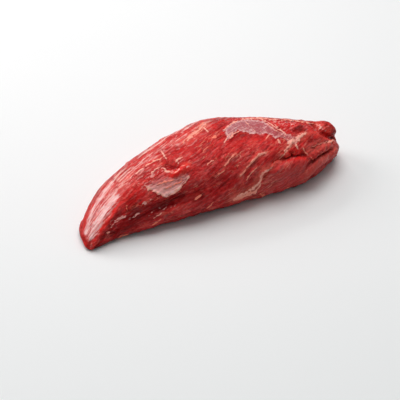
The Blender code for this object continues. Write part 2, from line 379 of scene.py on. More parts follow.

# Fat that the knife has left in the seams and between the fibres, as lines where the camera sees them: half
# width in pixels, how orange, and the points. The crests of the front fat, the seam and the first streak are
# painted highlights: pale lines where light catches the top of the fat.
FAT_MARKS = {
    "top fat": (1.5, 0.3, (187, 141.5), (193, 135), (199, 130), (206, 124.5)),
    "strand left of it": (1, 0.5, (183, 143), (189, 137), (195, 131)),
    "strand right of it": (0.9, 0.7, (194, 137), (200, 132), (206, 127)),
    "strand across the top": (0.9, 0, (202.5, 125.5), (205, 129), (208, 134)),
    "speck on the top": (1.8, 0.9, (213.5, 138), (216.5, 136)),
    "scar edge": (1.3, 0, (160.5, 150.5), (163, 153.5), (165, 158), (167.5, 162.5)),
    "strand left of the scar": (1, 0.3, (145, 166.5), (153, 162.5), (161.5, 158.5)),
    "strand below that": (1.1, 0.1, (136, 173.5), (146.5, 167)),
    "strand above the low sheet": (1, 0.1, (151, 173.5), (156, 169.5), (161, 167.5)),
    "first streak": (1.2, 0.5, (267.5, 152), (261, 155), (258, 155.5), (249, 165), (239.5, 177)),
    "knot of the first streak": (1.7, 0.3, (262, 154), (257.5, 155.5)),
    "second streak": (1, 0.6, (235, 154), (229, 160.5), (224.5, 166.5)),
    "third streak": (0.9, 0.4, (214.5, 161), (210, 162), (206.5, 165.5)),
    "fourth streak": (0.9, 0.7, (226, 169.5), (220.5, 173), (215, 177)),
    "fifth streak": (0.9, 0.6, (258, 166), (251, 173), (245.5, 180)),
    "front lobe's seam": (1.2, 0.2, (276, 162), (270.5, 168.5), (264, 170.5), (261.5, 175), (261, 181),
        (257, 188), (254.5, 193)),
    "front streak": (0.9, 0.8, (214, 201.5), (206.5, 208)),
    "streak behind that": (1.2, 0.8, (202.5, 194), (194, 200.5)),
    "front fat": (3.4, 0.5, (233.5, 200), (239.5, 195.5), (247, 193), (254, 190), (258, 186)),
    "fat above that": (2.6, 0.4, (251, 192), (257, 187), (260, 181), (261.5, 175)),
    "front scrap": (1.4, 0.9, (260, 193.5), (266, 195.5)),
    "front spot": (1.5, 0.7, (287, 188), (290, 187)),
    "middle of the cross": (3.6, 0.1, (288, 144.5), (294, 141), (300, 137)),
    "cross, right arm": (2.2, 0.15, (294, 141), (300, 136.5), (306, 132.5)),
    "cross, lower arm": (2, 0.35, (292, 143), (286.5, 149.5), (279, 158.5)),
    "front fat's crest": (0.9, 0.1, (234, 198.5), (237, 195), (244, 191.5), (251, 188), (257, 182.5),
        (261, 175)),
    "front fat's bulb": (2.2, 0.5, (233, 199), (237, 196.5), (241, 195)),
    "seam's crest": (0.8, 0.1, (262, 172), (267, 169.5), (272, 166.5), (276, 162)),
    "first streak's crest": (0.8, 0, (267.5, 151.5), (263, 153), (257.5, 155)),
    "cross, short arm": (1, 0.2, (295, 142), (297.5, 149)),
    "scrap by the cross": (1.5, 0.3, (276.5, 139.5), (279, 142), (281, 143.5)),
    "butt fat": (1.7, 0.3, (327, 142), (331, 141.5), (334, 139.5)),
    "butt spot": (1.5, 0, (320.5, 127), (322, 129.5)),
    "base fat": (1.6, 0.8, (116.5, 238), (122, 236), (128.5, 233.5)),
    "top fat's upper end": (1.3, 0.7, (199, 127), (204, 123)),
    "low streak": (1, 0.9, (152, 224.5), (161.5, 218.5)),
    "streak above that": (0.9, 0.1, (153, 218.5), (162, 213)),
    "nick": (1.1, 0.9, (127.5, 205), (126.5, 208), (128, 211)),
    "high sheet's back edge": (1, 0.5, (238, 121.5), (246, 119.5), (260, 118.5), (276, 120.5)),
    "curl by the scar": (1.5, 0, (182.5, 158), (178.5, 159), (177, 161.5), (179.5, 164.5)),
    "thread by the scar": (1.5, 0, (163.5, 168.5), (166.5, 171.5), (172.5, 173.5)),
    "scar scrap": (0.7, 0.3, (174, 174), (178, 171), (182, 167.5), (186, 165.5)),
    "low sheet's streak": (1.1, 0.8, (157, 185), (166, 182), (175, 180.5), (183, 178.5)),
    "low sheet's second streak": (0.8, 0.9, (163, 190), (172, 186), (182, 181)),
    "low sheet's edge": (1, 0, (165, 197), (172.5, 193), (179.5, 188.5), (185.5, 182), (189.5, 175.5)),
    "low sheet's left edge": (1.6, 0.1, (144, 185.5), (149, 189), (156, 192.5), (164, 196)),
    "high sheet's upper edge": (0.8, 0.1, (223, 131), (228, 126.5), (235, 122), (246, 119.5), (260, 119),
        (267, 122.5), (277, 129), (287, 135)),
    "web line": (0.5, 0, (262, 120), (270, 127), (281, 134.5), (291, 142)),
    "second web line": (0.45, 0, (272, 123), (280, 130), (289, 138.5)),
    "third web line": (0.45, 0, (244, 121), (250, 127), (257, 133.5)),
    "first finger": (1.1, 0.1, (224.5, 143), (228, 136), (233, 132)),
    "second finger": (1, 0.3, (230, 139), (234, 134), (239, 132)),
    "third finger": (1.2, 0.4, (266, 139), (268.5, 136), (271, 135)),
    "crease's end fold": (0.8, 0.6, (302, 145.5), (304, 150), (308, 155), (313, 159)),
    "butt crest": (0.8, 0.5, (312, 147), (320, 143.5), (327, 142), (331, 141)),
    "back edge fat": (0.9, 0.5, (270, 119.5), (285, 120.5), (300, 122), (312, 124), (319, 125.5)),
    "tip spot": (1.6, 0.4, (106, 233), (109, 231.5)),
}

# Silverskin: thin tough sheets that lie on the lean, shiny and half see-through. A sheet has its thick end,
# where it is whitest, its thin end, where it is almost clear, and then its outline.
SILVERSKIN = {
    "high_sheet": ((230, 128), (345, 153), (222.5, 131.5), (228, 126), (235, 122), (240, 120), (248, 119),
        (257, 120), (264, 121), (268, 124), (272, 127), (278, 130), (284, 133), (290, 135), (295, 136.5),
        (301, 134.5), (306, 132.5), (303, 137), (298, 142), (294, 146), (289, 144), (285, 141), (279, 138),
        (275, 139), (271, 136), (265, 134), (259, 135.5), (254, 134), (248, 134), (241, 132), (237, 131),
        (233, 134), (229, 139), (224.5, 143), (226, 137), (225, 133)),
    "low_sheet": ((166, 196), (161, 170), (144.5, 186.5), (151, 190.5), (158, 194), (165, 197.5),
        (172, 193.5), (179, 189), (185, 182.5), (189.5, 175.5), (187, 173), (181.5, 175.5), (175, 177.5),
        (170, 177), (164, 174.5), (159, 175.5), (154.5, 179), (150, 183.5)),
}
# The wet face that the light glances off, its sheen painted into the colour as a painted reflection:
# it ends sharply at the tip's ridge and dies away in streaks on the left. Its streaks have a half width
# and a strength.
SHEEN = (
    (86.5, 238.5), (83.5, 234), (81, 224), (84, 210), (92, 196), (103, 184), (113, 178), (118, 190),
    (121.5, 198), (117, 205.5), (111.5, 212.5), (106, 220), (101.5, 226.5), (96, 234.5), (91.5, 240),
    (88.5, 242),
)
SHEEN_LINES = {
    "streak 1": (5.2, 1, (92, 236.5), (94, 231), (96.5, 223), (102, 213), (109, 204), (115, 198)),
    "streak 2": (2.1, 1, (86.5, 233), (88, 227), (89.5, 220), (94, 209.5), (99.5, 200), (105, 192.5),
        (112, 183)),
}

# Cuts and crests too fine for the forms: half width in pixels, height in metres, and the points
CARVINGS = {
    "tip ridge": (2.2, 0.0017, (90, 250), (93.5, 243), (98.5, 236), (104.5, 227.5), (109, 220.5), (114, 214),
        (119, 207), (125, 202)),
    "hollow by the ridge": (4.5, -0.0009, (90, 236), (97, 222), (105, 210), (113, 202)),
    "scar lip": (1.5, 0.0007, (160.5, 151), (164.5, 158), (168, 163), (173, 165.5), (179, 166.5)),
    "cut under the lip": (2, -0.0011, (163, 163), (168, 168), (174, 169.5), (181, 167)),
    "scar scrap": (2.2, 0.0006, (172, 175.5), (177, 173), (181, 169.5), (187, 167)),
    "crease": (2.4, -0.0004, (281, 157), (285, 160), (291, 157), (299, 154), (305, 155)),
    "cut above the crease": (1.5, -0.0008, (284, 154.5), (290, 152.5), (296, 152)),
    "crease's end fold": (1.6, 0.0009, (302, 145), (303.5, 149), (307, 154), (312, 159)),
    "gap by that fold": (1.4, -0.0007, (305.5, 148), (309, 153), (313, 156.5)),
    "high fold": (1.9, 0.0022, (310, 159.5), (318, 153), (326, 147.5), (334, 144.5)),
    "crease's second fold": (1.2, 0.001, (308, 150), (311, 153.5), (315, 157)),
    "low fold": (3, 0.003, (300, 182), (309, 171.5), (317, 162.5), (325, 157), (332, 153), (335.5, 147)),
    "gap of the folds": (1.5, -0.0018, (306, 168), (315, 158), (322, 153), (331, 149)),
    "gap below the folds": (1.9, -0.0018, (308, 180), (318, 168.5), (327, 162), (333, 158.5)),
    "end groove": (1.5, -0.0016, (332, 142), (334.5, 146), (334, 152)),
    "groove above the folds": (1.5, -0.0014, (309, 150), (317, 146), (325, 142.5), (331, 140.5)),
    "notch": (1.9, -0.0014, (319, 131), (324, 134.5), (329, 137.5), (335, 140)),
    "upper lobe's dent": (1.7, -0.0012, (325, 126), (328.5, 128.5), (331, 132)),
    "pocket": (1.5, -0.0011, (294, 130.5), (301, 127), (310, 128.5)),
    "second pocket": (1.2, -0.0007, (296, 133), (304, 131.5), (311, 132.5)),
    "crease lump": (1.7, 0.0022, (284.5, 156.5), (287, 154.5), (290, 154)),
    "second lump": (1.7, 0.002, (293.5, 154.5), (296.5, 153), (300, 153)),
    "gap of the lumps": (1.2, -0.0014, (289.5, 151.5), (291.5, 154), (292.5, 157)),
    "front fat": (2.3, 0.0021, (234, 198.5), (243, 193.5), (251, 190), (258, 184), (261.5, 176)),
    "front lobe's seam": (1.5, 0.0014, (262, 173), (268, 169), (272, 166), (276.5, 161.5)),
    "first streak": (1.4, 0.0009, (266, 152), (258, 155.5), (249, 165), (241, 176)),
    "low sheet's tip": (2.6, 0.0008, (151, 190), (159, 194), (165, 196), (175, 191.5), (185, 182)),
    "first streak's gap": (1.2, -0.0005, (261, 157), (252, 166), (242, 179)),
    "seam's gap": (1.5, -0.0009, (273, 165.5), (267, 172), (263.5, 179), (260, 187)),
    "front valley": (2, -0.0009, (152, 211.5), (177, 204.5), (203, 196)),
    "side roll's edge": (1.6, -0.0006, (118, 216), (130, 212), (146, 206), (163, 202)),
    "base cut": (1.7, -0.0008, (98, 241), (108, 236), (118, 231)),
    "nick": (1.3, -0.0007, (126, 206), (125, 210), (128, 213)),
    "top fat's cut": (1.4, -0.0006, (190, 138), (198, 131.5), (205, 126)),
    "low sheet's edge": (1.3, -0.0006, (165, 198), (173, 194.5), (181, 189), (187, 182)),
}

# The far side, out of the camera's sight, has the same finish: fat in its seam and between its fibres, as
# routes here, with half widths in metres, and a third sheet, in (millimetres from the tip, degrees round).
BACK_FAT = {
    "tip seam": (0.0013, 0.4, (0.046, 8), (0.062, 11), (0.078, 13)),
    "middle seam": (0.0022, 0.3, (0.092, 15), (0.118, 14.5), (0.146, 12.5)),
    "butt seam": (0.0028, 0.2, (0.172, 14), (0.2, 19), (0.222, 26), (0.238, 33)),
    "seam's branch": (0.0016, 0.5, (0.204, 20), (0.213, 30), (0.226, 38)),
    "first streak": (0.0011, 0.5, (0.084, 46), (0.096, 40), (0.112, 33)),
    "second streak": (0.0014, 0.3, (0.128, 40), (0.14, 33), (0.152, 26)),
    "third streak": (0.0012, 0.6, (0.158, 46), (0.168, 40), (0.182, 32)),
    "fourth streak": (0.0012, 0.6, (0.102, 4), (0.112, -1), (0.124, -6)),
    "fifth streak": (0.0014, 0.4, (0.16, 3), (0.172, -5), (0.184, -12)),
    "sixth streak": (0.001, 0.2, (0.062, 30), (0.07, 27), (0.08, 23)),
    "butt scrap": (0.002, 0.5, (0.236, 52), (0.243, 47), (0.247, 40)),
    "low scrap": (0.002, 0.8, (0.132, -14), (0.139, -12), (0.145, -13)),
    "low butt scrap": (0.0018, 0.8, (0.214, -10), (0.222, -8), (0.229, -10)),
    "end seam": (0.0012, 0.4, (0.259, 40), (0.262, 20), (0.262, 0), (0.26, -18)),
}
BACK_SHEET = (
    (106, 44), (118, 52), (134, 56), (150, 54), (165, 46), (176, 36), (182, 26), (172, 29), (160, 24),
    (148, 28), (138, 24), (128, 31), (118, 33),
)
DEGREE = 0.62  # millimetres round the far side for each degree

# Soft zones: half width in pixels, strength, and the points. Frost is a pale haze, partly fine fat and partly
# painted highlight where the wet surface catches the light.
# Painted shade: the lean is darkened where shade falls, in the valley, the crease, the pocket and the scar,
# under the sheets, and on the tip's front face and the sides turned from the light
PAINTED_SHADE_ZONES = {
    "front face of the tip": (9, 0.8, (118, 231), (126, 225), (138, 216), (152, 209)),
    "under the low sheet": (5, 0.45, (128, 213), (146, 205), (166, 201), (182, 194)),
    "front valley": (3.4, 0.75, (140, 212), (152, 210), (177, 204), (202, 196)),
    "right of the ridge": (3.6, 0.6, (95, 248), (101, 239), (107, 230), (113.5, 221), (121, 212)),
    "left side of the tip": (1.2, 0.3, (82, 238), (83.5, 227), (87, 214), (93, 201), (101, 189)),
    "crease": (2.4, 0.2, (281, 159), (291, 155), (306, 155)),
    "crease's corner": (1.6, 0.2, (286, 161), (293, 159)),
    "upper lobe's end": (2, 0.3, (330, 129), (333.5, 132), (332, 136.5)),
    "pocket": (2.4, 0.4, (296, 129), (308, 130)),
    "scar": (2.6, 0.85, (166, 168), (173, 168), (180, 168)),
    "under the high sheet": (3, 0.35, (236, 135), (250, 136), (262, 137)),
}
# Partly the lean's own brighter red, partly painted light: light falling on the tip's ridge, point and rim,
# on the roll's top and on the lumps, folds and lips by the crease and the notch, and painted highlights on
# the wet butt, the scar scrap and the upper lobe
BRIGHT_AND_LIT_ZONES = {
    "tip ridge": (1.9, 1.3, (88, 250), (92.5, 244), (97.5, 235.5), (104, 226), (110, 217), (117, 207),
        (125, 200)),
    "side of the tip": (8, 0.55, (118, 206), (128, 196), (140, 192)),
    "top": (12, 0.2, (160, 158), (185, 146)),
    "below the high sheet": (4, 0.45, (228, 146), (245, 142), (266, 140)),
    "wet butt": (3, 0.7, (272, 124), (284, 125), (294, 126)),
    "scar scrap": (3.6, 1.4, (172, 175.5), (177, 173.5), (181, 169.5), (187, 166.5)),
    "upper lobe": (4.5, 0.6, (317, 125), (323, 128), (328, 131)),
    "left rim of the tip": (2.2, 0.5, (83, 241), (84, 231), (87, 217)),
    "point of the tip": (3.4, 1.3, (84, 240), (87, 246), (90, 248)),
    "notch lip": (2.2, 0.9, (315, 133), (322, 135), (328, 138)),
    "front lobe's edge": (1.9, 1, (288, 160.5), (297, 158.5), (306, 158.5)),
    "front lobe's seam": (2.6, 0.6, (277, 161), (269, 168), (262, 172), (260, 182)),
    "roll top": (2.6, 0.4, (172, 208), (185, 201), (198, 195.5)),
    "above the crease": (2.4, 0.95, (284, 153), (293, 150), (300, 151)),
    "crease lump": (1.7, 0.9, (285, 156.5), (290, 154)),
    "second lump": (1.7, 0.9, (294, 154), (300, 152.5)),
    "crease's end fold": (1.5, 0.7, (302, 145), (304, 150), (308, 155), (313, 159)),
}
# Where thin fat stains the lean a pale orange, and where the same pale orange is painted light on the
# tip's point, the notch's lip, the upper lobe, the roll's top and the front lobe's seam
STAIN_AND_LIGHT_ZONES = {
    "front fat": (4.5, 0.65, (233, 198), (245, 192), (255, 187), (260, 178), (263, 172)),
    "front lobe's seam": (3, 0.9, (261, 178), (262, 171), (270, 167), (277, 161)),
    "cross": (4, 0.5, (281, 157), (288, 148), (294, 141), (307, 133)),
    "first streak": (2.4, 0.5, (240, 177), (249, 165), (258, 156), (267, 152)),
    "second streak": (1.8, 0.4, (224, 167), (229, 160), (235, 154)),
    "folds": (3, 0.3, (302, 180), (317, 162.5), (326, 156.5), (335, 148)),
    "butt": (5, 0.35, (306, 152), (318, 145), (330, 141)),
    "top fat": (3.4, 0.5, (186, 142), (196, 132), (206, 125)),
    "point of the tip": (2.6, 0.6, (86.5, 244), (89, 247), (92, 245)),
    "upper lobe": (4, 0.5, (316, 125), (322, 127), (328, 130)),
    "notch lip": (2.2, 0.6, (315, 133), (322, 135), (328, 138)),
    "scar scrap": (2.8, 0.95, (173, 175.5), (178, 172), (182, 168.5), (187, 166)),
    "roll top": (2.4, 0.6, (176, 206), (188, 200), (198, 195.5)),
}
# Painted glints: pale specks that stand in for the light caught by wet spots
PAINTED_GLINT_ZONES = {
    "tip patch": (2, 1.7, (112, 223), (118, 219.5), (126, 216.5)),
    "ridge's crest": (1.2, 0.9, (90, 247), (96, 236), (104, 223), (112, 211)),
    "specks below it": (1.7, 1.3, (107.5, 234), (110, 229), (113.5, 226.5)),
    "specks beside it": (1.3, 1.2, (130.5, 218.5), (138.5, 214)),
    "specks above it": (1.8, 1.2, (143, 204), (148, 201), (152, 198.5)),
    "upper side": (6, 0.8, (107, 200), (114, 191), (122, 184), (132, 178)),
    "front roll": (2.2, 0.6, (150, 214), (162, 209), (176, 206)),
    "left face of the tip": (4.5, 0.6, (89, 238), (93, 222), (100, 208), (112, 199)),
    "above the low sheet": (4, 0.6, (146, 180), (155, 172), (166, 168)),
    "scar scrap": (2, 0.9, (173, 173), (180, 169), (187, 166)),
    "behind the high sheet": (2.6, 0.9, (272, 122), (282, 124), (294, 125)),
    "upper lobe": (2.6, 1.4, (318, 125), (320, 128), (322.5, 130.5)),
    "front lobe's edge": (1.4, 0.3, (288, 159), (298, 157), (306, 157.5)),
}
# A duller, pinker lean; on the folds and the fold above the crease it is also painted light along their
# crests
DULL_ZONES = {
    "front lobe": (13, 1, (272, 182), (296, 172), (316, 166)),
    "folds": (7, 1.1, (306, 176), (322, 160), (333, 148)),
    "fold above the crease": (5, 0.7, (307, 149), (320, 146), (332, 141)),
    "front roll": (7, 0.5, (150, 222), (176, 209), (200, 199)),
    "middle": (12, 0.25, (190, 185), (225, 165), (250, 150)),
}
FROST_ZONES = {
    "left face of the tip": (3.5, 0.6, (95, 226), (100, 214), (109, 202)),
    "upper side": (12, 0.9, (104, 198), (126, 176), (156, 150), (184, 136)),
    "around the low sheet": (7, 0.6, (134, 188), (150, 180), (168, 172), (186, 164)),
    "butt": (6, 0.6, (272, 124), (290, 125)),
}
WET_ZONES = {
    "left face of the tip": (5, 1, (93, 236), (96, 224), (103, 208), (113, 200)),
    "front face of the tip": (5, 0.3, (104, 232), (116, 222), (134, 214), (152, 200)),
    "butt": (6, 0.8, (274, 124), (300, 128), (326, 128)),
    "upper side": (9, 0.5, (110, 188), (130, 168), (160, 148)),
}
# The pale top edge, as a route
RIM = ((0.018, 62), (0.056, 57), (0.090, 56), (0.125, 58), (0.160, 55))
RIM_HALF_WIDTH = 0.013
RIM_FADE = 0.15

# How marks end: their width at both ends as a share of their middle's, and the power of the sine between
MARK_ENDS = (0.45, 0.5)
BACK_FAT_ENDS = (0.4, 1.0)
BACK_FAT_RAGGED = 0.35  # as a share of its half width
DEEPEST = 4  # how far inside or outside a sheet its depth is followed, in pixels
BACK_VEIL = 0.55  # how white the third sheet is
SHEEN_EDGE = (-0.6, 0.8)  # pixels inside the outline between which the sheen sets in
MOIST_PATCH = 0.022  # size of the wet patches on the sides out of sight
MOIST_FROM = (-0.2, 0.7)  # values of the noise between which they set in
# the shares of the wet coat, the painted glints and the frost that these patches add
MOIST_WET, MOIST_GLINT, MOIST_FROST = 0.7, 0.6, 0.5

# Relief
FLOOR_CLEARS = 0.003  # height above the floor at which the relief is at its full height
SHEET_EDGE_SPAN = (-0.5, 1.0)  # pixels inside a sheet's edge between which it covers the fibres
SKIN_THICKNESS = 0.00025  # of a sheet of silverskin
FIBRES_HIDDEN = 0.6  # how much of the fibres' relief a sheet hides
GROOVE = 0.14  # how far up the bundles' waves their grooves reach; the grooves are darkened as painted shade
FAT_HEIGHT = 0.0006
FAT_EDGE_SPAN = (-0.3, 0.8)
FAT_LUMP = 0.0032
FAT_EVEN, FAT_LUMPY = 0.7, 0.9  # shares of its height
EDGE_LIFT = 0.006  # height of the ragged lower edge, where the knife came out
EDGE_RAGGED = 0.0011
EDGE_LUMPS = ((0.011, 1.0, 22), (0.0045, 0.6, 23))  # size, share and seed
FRAY = 1.1  # how far a cut's line strays, in pixels
FRAY_LUMP = 0.0045
CARVING_FADE = (0.25, 0.05)  # as nearness takes it
CARVED_SHADE = 1.4  # how much a carved hollow darkens the skin as painted shade, against a form as deep
# how much a raised carving lightens the skin: painted light on its crest
RAISED_LIGHT = 1.3
DARKEST_HOLLOW = 0.012  # depth whose painted shade is as dark as can be
CONTACT_SHADE_HEIGHT = 0.0035  # height up to which the skin is darkened near the floor: painted shade where the meat meets it
CONTACT_SHADE_STRENGTH = 0.6


def reach(points, line, half_width, end_share, power, ragged=0.0):
    """How far inside a mark each point is: 1 on its line, 0 at its edge, and no less than -1 outside.

    The mark has its half width in its middle and narrows to end_share of it at both ends, by a sine raised
    to a power. ragged is added.
    """
    gap, place = nearest_on(points, line)
    width = half_width * (end_share + (1 - end_share) * np.sin(np.pi * place) ** power)
    return np.maximum(1 - gap / width + ragged, -1)


def depth_inside(points, outline, deepest=np.inf):
    """How many pixels inside a closed outline each point is, less than 0 outside it, up to deepest."""
    closed = np.array([*outline, outline[0]], float)
    gap, _ = nearest_on(points, closed)
    inside = np.zeros(len(points), bool)
    for (x0, y0), (x1, y1) in zip(closed[:-1], closed[1:]):
        if y0 != y1:
            spans = (y0 > points[:, 1]) != (y1 > points[:, 1])
            crossing = x0 + (points[:, 1] - y0) * (x1 - x0) / (y1 - y0)
            inside ^= spans & (points[:, 0] < crossing)
    return np.clip(np.where(inside, gap, -gap), -deepest, deepest)


def along_line(points, start, end):
    """How far each point is from start, 0, to end, 1, measured along the line between them."""
    step = np.subtract(end, start)
    return np.clip((points - start) @ step / (step @ step), 0, 1)


def zone_strength(zones):
    """The strongest of several zones where the camera sees the skin, each a bell across its line."""
    total = np.zeros(len(seen))
    for half_width, strength, *path in zones.values():
        total = np.maximum(total, strength * nearness(seen, path, half_width))
    return total * shown


reaches = [
    (np.where(in_view, reach(seen, path, half_width, *MARK_ENDS), -1), tint)
    for half_width, tint, *path in FAT_MARKS.values()
]
back_ragged = BACK_FAT_RAGGED * edge_lumps[:, 0]
for half_width, tint, *route in BACK_FAT.values():
    near = reach(plain, route_line(route), half_width, *BACK_FAT_ENDS, back_ragged)
    reaches.append((near * out_of_sight - shown, tint))
fat = np.full(len(skin), -1.0)
orange = np.zeros(len(skin))
for near, tint in reaches:
    orange = np.where(near > fat, tint, orange)
    fat = np.maximum(fat, near)

depth, veil = {}, {}
for name, (thick_end, thin_end, *outline) in SILVERSKIN.items():
    depth[name] = np.where(in_view, depth_inside(seen, outline, DEEPEST), -DEEPEST)
    veil[name] = along_line(seen, thin_end, thick_end)
round_degrees = (np.degrees(turn).ravel() + 90) % 360 - 90
unrolled = np.stack([plain[:, 0] * 1000, round_degrees * DEGREE], axis=-1) + EDGE_WANDER * edge_lumps
back_outline = np.array(BACK_SHEET, float) * (1, DEGREE)
back_depth = np.where(in_view, -DEEPEST, depth_inside(unrolled, back_outline, DEEPEST))
depth["high_sheet"] = np.maximum(depth["high_sheet"], back_depth)
veil["high_sheet"] = np.where(back_depth > -DEEPEST, BACK_VEIL, veil["high_sheet"])

moist = smooth_step(*MOIST_FROM, cloud(plain / MOIST_PATCH, seed=31)) * out_of_sight
sheen = smooth_step(*SHEEN_EDGE, depth_inside(seen, SHEEN)) * zone_strength(SHEEN_LINES)
bright = zone_strength(BRIGHT_AND_LIT_ZONES)

covered = smooth_step(*SHEET_EDGE_SPAN, np.maximum(*depth.values()))
bundles, fibres, strands = (
    cloud(places / (length, width, width), seed=seed)
    for seed, (length, width, _) in enumerate((BUNDLES, FIBRES, STRANDS), 1)
)
fine = BUNDLES[2] * np.sqrt(abs(bundles)) + FIBRES[2] * np.sqrt(abs(fibres)) + STRANDS[2] * strands
fine = fine * (1 - FIBRES_HIDDEN * covered) + SKIN_THICKNESS * covered
fat_lumps = FAT_EVEN + FAT_LUMPY * cloud(skin / FAT_LUMP, seed=21)
fine += FAT_HEIGHT * smooth_step(*FAT_EDGE_SPAN, fat) * fat_lumps
low_edge = EDGE_RAGGED * bell(skin[:, 2] - EDGE_LIFT, EDGE_LIFT)
fine += low_edge * sum(share * cloud(skin / size, seed) for size, share, seed in EDGE_LUMPS)
frayed = seen + FRAY * np.stack([cloud(skin / FRAY_LUMP, seed=seed) for seed in (24, 25)], axis=-1)
for half_width, height, *path in CARVINGS.values():
    close = nearness(frayed, path, half_width, *CARVING_FADE) * shown
    fine += height * close
    # A carving also paints shade into a cut and light onto a crest
    hollow -= height * close * (CARVED_SHADE if height < 0 else RAISED_LIGHT)
# Painted shade along the foot, where the meat meets the floor; the lit zones are kept clear of it
painted_contact_shade = bell(skin[:, 2], CONTACT_SHADE_HEIGHT) * (1 - np.clip(bright, 0, 1))
# Painted shade: the shade zones, the hollows of the forms and carvings, and the foot by the floor
dark = zone_strength(PAINTED_SHADE_ZONES) + hollow / DARKEST_HOLLOW + CONTACT_SHADE_STRENGTH * painted_contact_shade
skin = skin + normals * (fine * smooth_step(0.0, FLOOR_CLEARS, skin[:, 2]))[:, None]
skin[:, 2] = np.maximum(skin[:, 2], 0)

ends = plain_point(np.array([0.0, np.pi]), np.full(2, np.pi / 2))
ends[:, 2] = WAIST * SECTIONS[[0, -1], 3]
ends[:, :2] += to_centre


def closed_skin(name, points):
    """A mesh whose rings join into four-sided faces and whose two last points close its ends with fans."""
    here = np.arange((RINGS - 1) * AROUND).reshape(RINGS - 1, AROUND)
    after = np.roll(here, -1, axis=1)
    walls = np.stack([here[:-1], after[:-1], after[1:], here[1:]], axis=-1)
    tip_fan = np.stack([np.full(AROUND, here.size), after[0], here[0]], axis=-1)
    butt_fan = np.stack([np.full(AROUND, here.size + 1), here[-1], after[-1]], axis=-1)
    faces = walls.reshape(-1, 4).tolist() + tip_fan.tolist() + butt_fan.tolist()
    mesh = bpy.data.meshes.new(name)
    mesh.from_pydata(points, [], faces)
    mesh.shade_smooth()
    return mesh


def with_ends(values):
    """The grid's values with the mean of the first ring and of the last for the two end points."""
    rings = values.reshape((RINGS - 1, AROUND) + values.shape[1:])
    return np.concatenate([values, rings[[0, -1]].mean(axis=1)])


def note(mesh, name, values):
    """Stores a number or a direction at each of the mesh's points, for its material."""
    values = np.asarray(values, np.float32)
    kind, field = ("FLOAT", "value") if values.ndim == 1 else ("FLOAT_VECTOR", "vector")
    mesh.attributes.new(name, kind, "POINT").data.foreach_set(field, values.ravel())


muscle_mesh = closed_skin("lean_muscle", np.concatenate([skin, ends]))
for name, values in {
    "fibre": places,
    "fat": fat,
    "orange": orange,
    "high_sheet": depth["high_sheet"],
    "low_sheet": depth["low_sheet"],
    "high_sheet_veil": veil["high_sheet"],
    "low_sheet_veil": veil["low_sheet"],
    "sheen": sheen,
    "dark": np.clip(dark, 0, 1),
    "bright": bright,
    "dull": zone_strength(DULL_ZONES),
    "rim": nearness(plain, route_line(RIM), RIM_HALF_WIDTH, RIM_FADE),
    "frost": zone_strength(FROST_ZONES) + MOIST_FROST * moist,
    "wet": zone_strength(WET_ZONES) + MOIST_WET * moist,
    "glinting": zone_strength(PAINTED_GLINT_ZONES) + MOIST_GLINT * moist,
    "stained": zone_strength(STAIN_AND_LIGHT_ZONES),
    # painted shade in the grooves between the bundles
    "grooves": 1 - smooth_step(0.0, GROOVE, abs(bundles)),
}.items():
    note(muscle_mesh, name, with_ends(values))
muscle = bpy.data.objects.new("lean_muscle", muscle_mesh)
scene.collection.objects.link(muscle)


def fill(node, inputs):
    """Sets a shader node's inputs, by name or number: to what a wire carries, or to a value."""
    for place, value in inputs.items():
        if isinstance(value, Wire):
            value.tree.links.new(value.socket, node.inputs[place])
        else:
            node.inputs[place].default_value = value


class Wire:
    """An output of a shader node. Arithmetic on it adds Math nodes, and node() adds any other kind."""

    def __init__(self, tree, socket=None):
        self.tree = tree
        self.socket = socket

    def node(self, kind, settings=None, inputs=None, output=0):
        """Adds a node, sets its settings, such as a ramp's stops, fills its inputs and gives an output."""
        made = self.tree.nodes.new(kind)
        for setting, value in (settings or {}).items():
            if setting == "stops":
                ramp = made.color_ramp.elements
                while len(ramp) < len(value):
                    ramp.new(0.5)
                for stop, (place, colour) in zip(ramp, value):
                    stop.position = place
                    stop.color = colour
            else:
                setattr(made, setting, value)
        fill(made, inputs or {})
        return Wire(self.tree, made.outputs[output])

    def maths(self, operation, *values):
        """What a Math node makes of numbers."""
        return self.node("ShaderNodeMath", {"operation": operation}, dict(enumerate(values)))

    def vectors(self, operation, *values):
        """What a Vector Math node makes of places."""
        return self.node("ShaderNodeVectorMath", {"operation": operation}, dict(enumerate(values)))

    def __add__(self, other):
        return self.maths("ADD", self, other)

    def __sub__(self, other):
        return self.maths("SUBTRACT", self, other)

    def __rsub__(self, other):
        return self.maths("SUBTRACT", other, self)

    def __mul__(self, other):
        return self.maths("MULTIPLY", self, other)

    def __abs__(self):
        return self.maths("ABSOLUTE", self)

    __radd__ = __add__
    __rmul__ = __mul__

    def between(self, low, high):
        """0 up to low and 1 from high on, with an S between them."""
        inputs = {"Value": self, "From Min": low, "From Max": high}
        return self.node("ShaderNodeMapRange", {"interpolation_type": "SMOOTHSTEP"}, inputs)

    def mixed(self, first, second):
        """The first colour where this is 0 and the second where it is 1."""
        return self.node("ShaderNodeMix", {"data_type": "RGBA"}, {0: self, 6: first, 7: second}, 2)

    def noted(self, name, output="Fac"):
        """What the mesh stores under a name at each point."""
        return self.node("ShaderNodeAttribute", {"attribute_name": name}, output=output)

    def grain(self, length, width, shift=0.0, detail=2.0, roughness=0.5):
        """Noise from 0 to 1 on this place, drawn out by length on its first axis and width on the others.

        Another shift gives another pattern of the same kind.
        """
        pace = (1 / length, 1 / width, 1 / width)
        cells = self.vectors("MULTIPLY_ADD", self, pace, (shift,) * 3)
        inputs = {"Vector": cells, "Scale": 1.0, "Detail": detail, "Roughness": roughness}
        return self.node("ShaderNodeTexNoise", {}, inputs)

    def lines(self, half_width):
        """1 where this noise crosses its middle, down to 0 at half_width from it: thin wandering lines."""
        return 1 - abs(self - 0.5).between(0.0, half_width)


